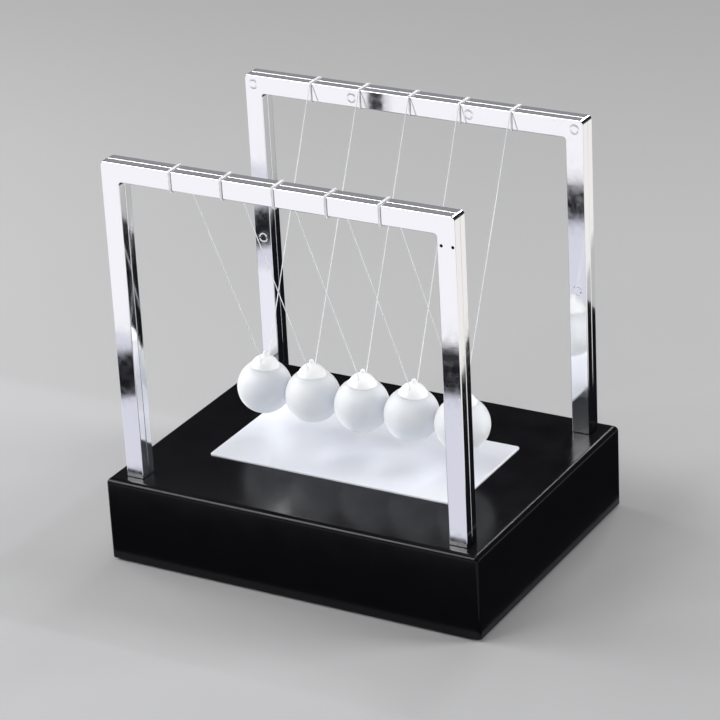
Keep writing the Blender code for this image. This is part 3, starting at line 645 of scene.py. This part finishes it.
def cells():
    """AAA cells: jacketed can with a rolled-in jacket end, positive nub and flat base."""
    for number, way in ((1, 1), (2, -1), (3, 1)):
        low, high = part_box(f"battery_{number}")
        middle = (low + high) / 2
        half, radius = (high.x - low.x) / 2, (high.z - low.z) / 2
        shoulder = half - 0.8 * MM
        edge = 0.6 * MM
        profile = [(0, half), (1.7 * MM, half), (1.9 * MM, half - 0.2 * MM), (1.9 * MM, shoulder - 0.1 * MM),
                   (radius - 1.2 * MM, shoulder - 0.1 * MM), (radius - 1.1 * MM, shoulder)]
        profile += [(radius - edge + edge * math.sin(math.radians(a)),
                     shoulder - edge + edge * math.cos(math.radians(a))) for a in range(0, 91, 15)]
        profile += [(radius - edge + edge * math.cos(math.radians(a)),
                     -half + 0.2 * MM + edge - edge * math.sin(math.radians(a))) for a in range(0, 91, 15)]
        profile += [(radius - 1.2 * MM, -half + 0.2 * MM), (radius - 1.3 * MM, -half), (0, -half)]
        shape = turned(profile, 64)
        for face in shape.faces:
            centre = face.calc_center_median()
            if math.hypot(centre.x, centre.y) < radius - 1.0 * MM:
                face.material_index = 1
        shape.transform(Matrix.Translation(middle) @ Matrix.Rotation(way * math.pi / 2, 4, "Y"))
        settle(piece_from(f"cell_{number}", shape, JACKET, NICKEL), "stand", "cell_jacket",
               f"battery_{number}")


def dress_kept_nodes():
    """Finishes for the frame's own solids that keep their shape; sharp ones get a small edge."""
    kept = {"bottom_cover": (SATIN, 0.25), "battery_door": (SATIN, 0.25),
            "light_board": (BOARD, 0.1), "switch_body": (ZINC, 0.2),
            "contact_positive": (NICKEL, 0.08), "contact_negative": (NICKEL, 0.08),
            "contact_bridge_left": (NICKEL, 0.08), "contact_bridge_right": (NICKEL, 0.08),
            "wire_battery_to_switch": (RED, 0), "wire_switch_to_board": (RED, 0),
            "wire_battery_to_board": (DARK_WIRE, 0)}
    kept.update({f"leg_screw_{n}": (ZINC, 0) for n in range(1, 5)})
    for node, (finish, edge) in kept.items():
        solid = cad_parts[node]
        solid.data.materials.clear()
        solid.data.materials.append(finish)
        if edge:
            bevel = solid.modifiers.new("edge", "BEVEL")
            bevel.width = edge * MM
            bevel.segments = 2
            bevel.limit_method = "ANGLE"
            bevel.angle_limit = math.radians(50)


# --- frames -----------------------------------------------------------------------------
def arch(inset, bottom, y, steps=10):
    """Upside-down U in the plane y, shrunk all round by inset but for its feet."""
    half, top, leg = HALF_WIDTH - inset, FRAME_TOP - inset, BAR - 2 * inset
    outer, inner = max(ARCH_OUTER - inset, 0.1 * MM), ARCH_INNER + inset

    def bend(cx, cz, radius, start, sweep):
        turns = [math.radians(start + sweep * i / steps) for i in range(steps + 1)]
        return [(cx + radius * math.cos(a), y, cz + radius * math.sin(a)) for a in turns]

    inside, under = half - leg, top - leg
    return ([(-half, y, bottom)] + bend(-half + outer, top - outer, outer, 180, -90)
            + bend(half - outer, top - outer, outer, 90, -90)
            + [(half, y, bottom), (inside, y, bottom)]
            + bend(inside - inner, under - inner, inner, 0, 90)
            + bend(-inside + inner, under - inner, inner, 90, 90)
            + [(-inside, y, bottom)])


def half_shell(face, seam):
    """Channel-section half frame from its outside face to the seam, hollow on the seam side.
    Its sides draw in a little towards the face, as the mould needs."""
    way = 1 if seam > face else -1
    steps = 6
    rings = []
    for i in range(steps + 1):
        angle = math.radians(90 * i / steps)
        rings.append(arch(DRAFT + ARCH_EDGE * (1 - math.sin(angle)), LEG_BOTTOM,
                          face + way * ARCH_EDGE * (1 - math.cos(angle))))
    for i in range(5):
        angle = math.radians(22.5 * i)
        rings.append(arch(SEAM_EDGE * (1 - math.cos(angle)), LEG_BOTTOM,
                          seam - way * SEAM_EDGE * (1 - math.sin(angle))))
    floor = LEG_BOTTOM + 3 * MM
    rings.append(arch(SHELL_WALL, floor, seam))
    rings.append(arch(SHELL_WALL, floor, face + way * SHELL_WALL))
    return loft(rings)


def peg_places():
    """Pegs that line the halves up; each leaves a round sink mark on the inner face."""
    bar = PEG_STATION * (BALL_CENTRES[2].x - BALL_CENTRES[1].x)
    middle = BASE_HIGH.z + PEG_HEIGHT * (FRAME_TOP - BASE_HIGH.z)
    return [(-LEG_X, BAR_Z), (-bar, BAR_Z), (bar, BAR_Z), (LEG_X, BAR_Z), (-LEG_X, middle),
            (LEG_X, middle)]


def sink_mark(radius, width, depth):
    """Ring to press a round, shallow groove; its axis is Z and the face lies at height 0."""
    thick = (width ** 2 / 4 + depth ** 2) / (2 * depth)
    turns = [2 * math.pi * i / 48 for i in range(48)]
    ring = [Vector((radius * math.cos(a), radius * math.sin(a), depth - thick)) for a in turns]
    return tube(ring, thick, 40, True)


def frames():
    """Two chrome arches, each of an outer half with pinholes and an inner half with tenons."""
    for side, label in ((-1, "front"), (1, "rear")):
        outer, inner = side * OUTER_Y, side * INNER_Y
        middle = side * LEG_Y
        shell = half_shell(outer, middle + side * SEAM_GAP / 2)
        if label == "front":
            for x in PINHOLES_X:
                hole = rod(PINHOLE_RADIUS, outer - MM, outer + 1.1 * MM, (x, PINHOLES_Z), "Y", 24)
                # the walls these cuts make take the second finish, painted shade for the pinholes' insides
                shell = carve(shell, hole, finish_index=1)
        body = piece_from(f"{label}_arch_outer", shell, CHROME, HOLE_SHADE)
        settle(body, "stand", "chrome_plating", f"{label}_frame_outer_half")

        shell = half_shell(inner, middle - side * SEAM_GAP / 2)
        for x, z in peg_places():
            mark = sink_mark(MARK_RADIUS, MARK_WIDTH, MARK_DEPTH)
            turn = Matrix.Rotation(-side * math.pi / 2, 4, "X")
            mark.transform(Matrix.Translation((x, inner, z)) @ turn)
            shell = carve(shell, mark)
        near, far = sorted((middle - side * SEAM_GAP / 2, inner + side * (BAR - TENON) / 2))
        half = TENON / 2
        for x in (-LEG_X, LEG_X):
            tenon = block((x - half, middle - half, TENON_BOTTOM),
                          (x + half, middle + half, BASE_HIGH.z))
            root = block((x - half, near, BASE_HIGH.z - MM), (x + half, far, LEG_BOTTOM + MM))
            shell = carve(shell, carve(tenon, root, "UNION"), "UNION")
        body = piece_from(f"{label}_arch_inner", shell, CHROME)
        settle(body, "stand", "chrome_plating", f"{label}_frame_inner_half")


# --- lines --------------------------------------------------------------------------------
def loop_point(distance, half, corner):
    """A point (y, z) on a rounded square, this far round from the start of its top side."""
    straight = half - corner
    side_length = 2 * straight + math.pi / 2 * corner
    quarter, rest = divmod(distance, side_length)
    if rest < 2 * straight:
        y, z = rest - straight, half
    else:
        angle = (rest - 2 * straight) / corner
        y, z = straight + corner * math.sin(angle), straight + corner * math.cos(angle)
    for _ in range(int(quarter) % 4):
        y, z = z, -y
    return y, z


def knot_round(centre, size):
    """Points of a trefoil, the small overhand knot that ends the line."""
    points = []
    for i in range(54):
        t = 2 * math.pi * i / 54
        points.append(centre + size * Vector((math.sin(t) + 2 * math.sin(2 * t),
                                              math.cos(t) - 2 * math.cos(2 * t),
                                              -1.1 * math.sin(3 * t))))
    return points


def wraps():
    """At each station the line turns over the bar's inner edge, goes round and is knotted."""
    lay = LINE_RADIUS + 0.06 * MM
    half = BAR / 2 + lay
    corner = ARCH_EDGE + lay
    round_length = 8 * (half - corner) + 2 * math.pi * corner
    turns, pitch, steps = 2.5, 2.2 * LINE_RADIUS, 160
    for side, label in ((-1, "front"), (1, "rear")):
        for number in BALL_NUMBERS:
            x = BALL_CENTRES[number].x
            hang_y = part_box(f"suspension_line_{number}")[1].y
            shift = pitch * turns / 2
            inner_y = LEG_Y - (half - corner)
            start = Vector((x, side * hang_y, FRAME_TOP))
            over = Vector((x - shift / 2, side * (hang_y + 0.2 * MM), BAR_Z + half))
            first = Vector((x - shift, side * inner_y, BAR_Z + half))
            points = []
            for i in range(8):
                t = i / 8
                points.append(start * (1 - t) ** 2 + over * 2 * t * (1 - t) + first * t ** 2)
            for i in range(steps + 1):
                share = i / steps
                y, z = loop_point(share * turns * round_length, half, corner)
                points.append((x - shift + share * turns * pitch, side * (LEG_Y + y), BAR_Z + z))
            knot = knot_round(Vector(points[-1]), 0.22 * MM)
            shape = merged(tube(points, LINE_RADIUS, 8), tube(knot, 0.9 * LINE_RADIUS, 8, True))
            settle(piece_from(f"wound_line_{label}_{number}", shape, NYLON, weighted=False),
                   "stand", "nylon_line", f"line_wrap_{label}_{number}")


# --- balls --------------------------------------------------------------------------------
def ball_shape():
    """Sphere with the stem's blind hole down its top."""
    hole, depth, steps = 1.8 * MM, 5.5 * MM, 56
    start = math.asin(hole / BALL_RADIUS)
    profile = [(0, BALL_RADIUS - depth), (hole, BALL_RADIUS - depth)]
    for i in range(steps):
        angle = start + (math.pi - start) * i / steps
        profile.append((BALL_RADIUS * math.sin(angle), BALL_RADIUS * math.cos(angle)))
    return turned(profile + [(0, -BALL_RADIUS)], 112)


def cap_shape():
    """Bulging cone with a small knob, a soft rim and a hollow underside on the ball's curve."""
    r = BALL_RADIUS
    near = r + 0.03 * MM
    rim, tip, knob = 0.53 * r, 1.41 * r, 0.085 * r
    profile = [(knob * math.sin(math.radians(a)), tip - knob + knob * math.cos(math.radians(a)))
               for a in range(0, 91, 15)]
    profile += [(1.08 * knob, tip - 1.4 * knob), (1.35 * knob, tip - 1.85 * knob),
                (1.8 * knob, tip - 2.25 * knob)]
    rim_top = math.sqrt(near ** 2 - rim ** 2) + 0.15 * MM
    start, end = Vector(profile[-1]), Vector((rim - 0.2 * MM, rim_top + 0.2 * MM))
    for i in range(1, 13):
        t = i / 12
        bulge = 0.035 * r * math.sin(math.pi * t)
        profile.append((start.x + (end.x - start.x) * t + bulge,
                        start.y + (end.y - start.y) * t + bulge))
    profile += [(rim - 0.05 * MM, rim_top + 0.08 * MM), (rim, rim_top - 0.05 * MM)]
    for i in range(9):
        reach = rim - (rim - 1.5 * MM) * i / 8
        profile.append((reach, math.sqrt(near ** 2 - reach ** 2)))
    profile += [(1.5 * MM, r - 5 * MM), (0, r - 5 * MM)]
    cap = turned(profile, 96)
    return carve(cap, rod(LINE_RADIUS + 0.05 * MM, -8 * MM, 8 * MM, (0, CAP_HOLE), "Y", 24))


def balls():
    """Five balls with their caps and lines, each leaning a little its own way."""
    for number in BALL_NUMBERS:
        body = f"ball_unit_{number}"
        centre = Vector((BALL_CENTRES[number].x, 0, BALL_Z))
        lean = Matrix.Rotation(math.radians(CAP_LEAN[number]), 4, "Y")
        stand = Matrix.Translation(centre) @ lean
        ball = ball_shape()
        ball.transform(stand)
        settle(piece_from(f"frosted_ball_{number}", ball, FROST, weighted=False), body,
               "frosted_ball", f"ball_{number}")
        cap = cap_shape()
        cap.transform(stand)
        settle(piece_from(f"cone_cap_{number}", cap, CAP, weighted=False), body,
               "white_cap", f"ball_cap_{number}")
        hang_line(number, body, stand)


def hang_line(number, body, stand):
    """The V-shaped line through the cap, from one bar to the other."""
    near = stand @ Vector((0, CAP_SPREAD, CAP_HOLE))
    top = Vector((BALL_CENTRES[number].x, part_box(f"suspension_line_{number}")[1].y, FRAME_TOP))
    half = []
    bend = 1.2 * MM
    out = (top - near).normalized()
    inward = Vector((0, -1, 0))
    for i in range(9):
        t = i / 8
        half.append(near + inward * bend * (1 - t) ** 2 + out * bend * t ** 2)
    stretch = 24
    start = half[-1]
    half += [start.lerp(top, i / stretch) for i in range(1, stretch + 1)]
    mirrored = [Vector((p.x, -p.y, p.z)) for p in reversed(half)]
    line = tube(mirrored + half, LINE_RADIUS, 10)
    settle(piece_from(f"nylon_line_{number}", line, NYLON, weighted=False), body,
           "nylon_line", f"suspension_line_{number}")


# --- stage ---------------------------------------------------------------------------------
def camera():
    """The viewpoint: distance, direction, roll and lens of a long portrait lens."""
    back = Vector((math.sin(AZIMUTH) * math.cos(ELEVATION),
                   -math.cos(AZIMUTH) * math.cos(ELEVATION), math.sin(ELEVATION)))
    level = Vector((math.cos(AZIMUTH), math.sin(AZIMUTH), 0))
    upright = back.cross(level)
    right = math.cos(ROLL) * level + math.sin(ROLL) * upright
    up = -math.sin(ROLL) * level + math.cos(ROLL) * upright
    data = bpy.data.cameras.new("view")
    data.lens = LENS
    data.sensor_width = 36.0
    data.clip_start, data.clip_end = 0.05, 50
    eye = bpy.data.objects.new("view", data)
    eye.matrix_world = Matrix.Translation(AIM + back * VIEW_DISTANCE) @ Matrix(
        (right, up, back)).transposed().to_4x4()
    bpy.context.scene.collection.objects.link(eye)
    bpy.context.scene.camera = eye


def floor():
    """A plain pale floor, with a backdrop and a far veil in its tone that only the camera sees."""
    shape = bmesh.new()
    bmesh.ops.create_circle(shape, cap_ends=True, segments=96, radius=FLOOR_RADIUS)
    ground = piece_from("studio_floor", shape, weighted=False)
    finish = Finish("pale_floor", FLOOR_COLOUR, 0.6, Specular_IOR_Level=0.2)
    finish.vary_roughness(0.2, 0.55, 0.65)
    ground.data.materials.append(finish.material)
    shape = bmesh.new()
    bmesh.ops.create_cone(shape, segments=96, radius1=FLOOR_RADIUS, radius2=FLOOR_RADIUS,
                          depth=2 * FLOOR_RADIUS)
    wall = piece_from("studio_backdrop", shape, glow("backdrop_glow", FLOOR_COLOUR), weighted=False)
    seen_only_by(wall, "camera")
    shape = bmesh.new()
    bmesh.ops.create_circle(shape, cap_ends=True, segments=96, radius=FLOOR_RADIUS)
    bmesh.ops.translate(shape, verts=shape.verts, vec=(0, 0, 0.5 * MM))
    veil = piece_from("studio_veil", shape, fading_glow(), weighted=False)
    seen_only_by(veil, "camera")


def fading_glow():
    """Clear round the middle and glowing like the lit floor further out, to keep it one tone."""
    made = bpy.data.materials.new("veil_glow")
    made.use_nodes = True
    tree = made.node_tree
    tree.nodes.clear()
    place = tree.nodes.new("ShaderNodeTexCoord")
    reach = tree.nodes.new("ShaderNodeVectorMath")
    reach.operation = "LENGTH"
    fade = tree.nodes.new("ShaderNodeMapRange")
    fade.interpolation_type = "SMOOTHSTEP"
    fade.inputs["From Min"].default_value = 0.35
    fade.inputs["From Max"].default_value = 1.4
    clear = tree.nodes.new("ShaderNodeBsdfTransparent")
    lit = tree.nodes.new("ShaderNodeEmission")
    lit.inputs["Color"].default_value = (*FLOOR_COLOUR, 1)
    mix = tree.nodes.new("ShaderNodeMixShader")
    output = tree.nodes.new("ShaderNodeOutputMaterial")
    tree.links.new(place.outputs["Object"], reach.inputs[0])
    tree.links.new(reach.outputs["Value"], fade.inputs["Value"])
    tree.links.new(fade.outputs["Result"], mix.inputs["Fac"])
    tree.links.new(clear.outputs[0], mix.inputs[1])
    tree.links.new(lit.outputs[0], mix.inputs[2])
    tree.links.new(mix.outputs[0], output.inputs["Surface"])
    return made


def glow(name, colour):
    """A material that shines with one even colour."""
    made = bpy.data.materials.new(name)
    made.use_nodes = True
    shader = made.node_tree.nodes["Principled BSDF"]
    shader.inputs["Base Color"].default_value = (0, 0, 0, 1)
    shader.inputs["Specular IOR Level"].default_value = 0.0
    shader.inputs["Emission Color"].default_value = (*colour, 1)
    shader.inputs["Emission Strength"].default_value = 1.0
    return made


def seen_only_by(thing, way):
    """Leaves a stage object visible to the camera alone, or to reflections alone."""
    thing.visible_camera = way == "camera"
    thing.visible_glossy = way == "glossy"
    thing.visible_diffuse = thing.visible_transmission = False
    thing.visible_volume_scatter = thing.visible_shadow = False


def card(name, corners, colour):
    """A painted reflection for the chrome: a flat glowing sheet that shows only in reflections and lights
    nothing.
    """
    shape = bmesh.new()
    shape.faces.new([shape.verts.new(corner) for corner in corners])
    sheet = piece_from(name, shape, glow(name, colour), weighted=False)
    seen_only_by(sheet, "glossy")


def flat_card(name, low, high, height, colour):
    """A card that lies parallel to the floor, between two corners (x, y)."""
    card(name, [(low[0], low[1], height), (high[0], low[1], height), (high[0], high[1], height),
                (low[0], high[1], height)], colour)


def ring_card(name, inner, outer, start, end, height, colour):
    """A card shaped as part of a flat ring about the middle, between two bearings in degrees."""
    bearings = [math.radians(start + (end - start) * i / 48) for i in range(49)]
    edge = [(outer * math.cos(a), outer * math.sin(a), height) for a in bearings]
    edge += [(inner * math.cos(a), inner * math.sin(a), height) for a in reversed(bearings)]
    card(name, edge, colour)


def painted_reflections():
    """Painted reflections: white sheets and black sheets on the floor and behind that show only in
    reflections, for bright chrome with dark accents. The small bright sheet high at the front left shows in
    the front legs' feet, by way of the glossy base."""
    black = (0.006, 0.006, 0.008)
    # white and grey sheets here are painted bright reflections, black ones painted dark reflections; the
    # camera sees none of them
    flat_card("front_painted_reflection", (-0.75, -0.95), (0.25, -0.131), 1 * MM, (1.02, 1.01, 1.05))
    flat_card("near_painted_reflection", (-0.30, -0.262), (0.25, -0.131), 1.5 * MM, (0.74, 0.74, 0.84))
    flat_card("left_painted_reflection", (-0.30, -0.131), (-0.137, 0.07), 1.5 * MM, (0.92, 0.92, 1.0))
    # painted dark reflection: a black sheet close in front of the base
    flat_card("front_painted_dark_reflection", (-0.137, -0.131), (0.10, -0.072), 2 * MM, black)
    # painted dark reflection: a black ring-shaped sheet that puts dark patches in the legs' chrome
    ring_card("painted_dark_reflection_ring", 0.262, 0.316, 190, 280, 2 * MM, black)
    flat_card("right_painted_reflection", (0.21, -0.30), (0.90, 0.95), 1 * MM, (0.95, 0.93, 0.90))
    # painted dark reflections: black sheets to the right and behind
    flat_card("right_painted_dark_reflection", (0.092, -0.075), (0.21, 0.26), 2 * MM, black)
    flat_card("back_painted_dark_reflection", (-0.30, 0.072), (0.092, 0.95), 2 * MM, black)
    # painted reflection: a small, very bright sheet high at the front left, seen in the front legs' feet by
    # way of the glossy base
    card("feet_painted_reflection", [(-0.60 + side * 0.12, -1.02 - side * 0.07, z) for side, z in (
        (-1, 0.52), (1, 0.52), (1, 0.70), (-1, 0.70))], (7.0, 7.0, 7.2))
    # painted reflection: a grey sheet behind, for the grey top faces of the bars
    card("rear_painted_reflection", [(x, 0.30, z) for x, z in ((-0.36, 0.262), (0.02, 0.262), (0.02, 0.43),
                                                  (-0.36, 0.43))], (0.29, 0.29, 0.31))


def softbox(name, at, target, width, height, power, colour=(1, 1, 1), mirrored=True):
    """A rectangular area light aimed at a point; unless mirrored, glossy faces don't show it."""
    data = bpy.data.lights.new(name, "AREA")
    data.shape = "RECTANGLE"
    data.size, data.size_y = width, height
    data.energy = power
    data.color = colour
    lamp = bpy.data.objects.new(name, data)
    lamp.location = at
    lamp.rotation_mode = "QUATERNION"
    lamp.rotation_quaternion = (Vector(target) - Vector(at)).to_track_quat("-Z", "Y")
    lamp.visible_camera = False
    lamp.visible_glossy = mirrored
    bpy.context.scene.collection.objects.link(lamp)


def studio():
    """Dim surroundings, six soft boxes and a low fill that the chrome doesn't show."""
    world = bpy.data.worlds.new("studio")
    bpy.context.scene.world = world
    world.use_nodes = True
    world.node_tree.nodes["Background"].inputs["Color"].default_value = (0.03, 0.03, 0.032, 1)
    world.node_tree.nodes["Background"].inputs["Strength"].default_value = 1.0
    middle = (0, 0, 0.08)
    softbox("key", (-1.20, -0.40, 0.80), middle, 0.7, 0.7, 14)
    softbox("front", (-0.65, -0.90, 0.92), middle, 0.6, 0.4, 7)
    softbox("back", (-0.05, 1.18, 1.0), middle, 0.4, 0.3, 4)
    softbox("top", (0.05, 0.1, 1.2), middle, 0.9, 0.9, 4)
    softbox("rim_left", (-1.25, 0.25, 0.45), middle, 0.5, 0.5, 7, mirrored=False)
    softbox("rim_right", (1.15, 0.50, 0.50), middle, 0.5, 0.5, 14, mirrored=False)
    softbox("fill", (0.70, -1.30, 0.12), middle, 0.6, 0.2, 5, (0.86, 0.91, 1.0), mirrored=False)
    bpy.context.scene.view_settings.view_transform = "Standard"


housing()
plate()
feet()
cover_screws()
switch_knob()
lamps()
cells()
dress_kept_nodes()
frames()
wraps()
balls()
camera()
floor()
painted_reflections()
studio()
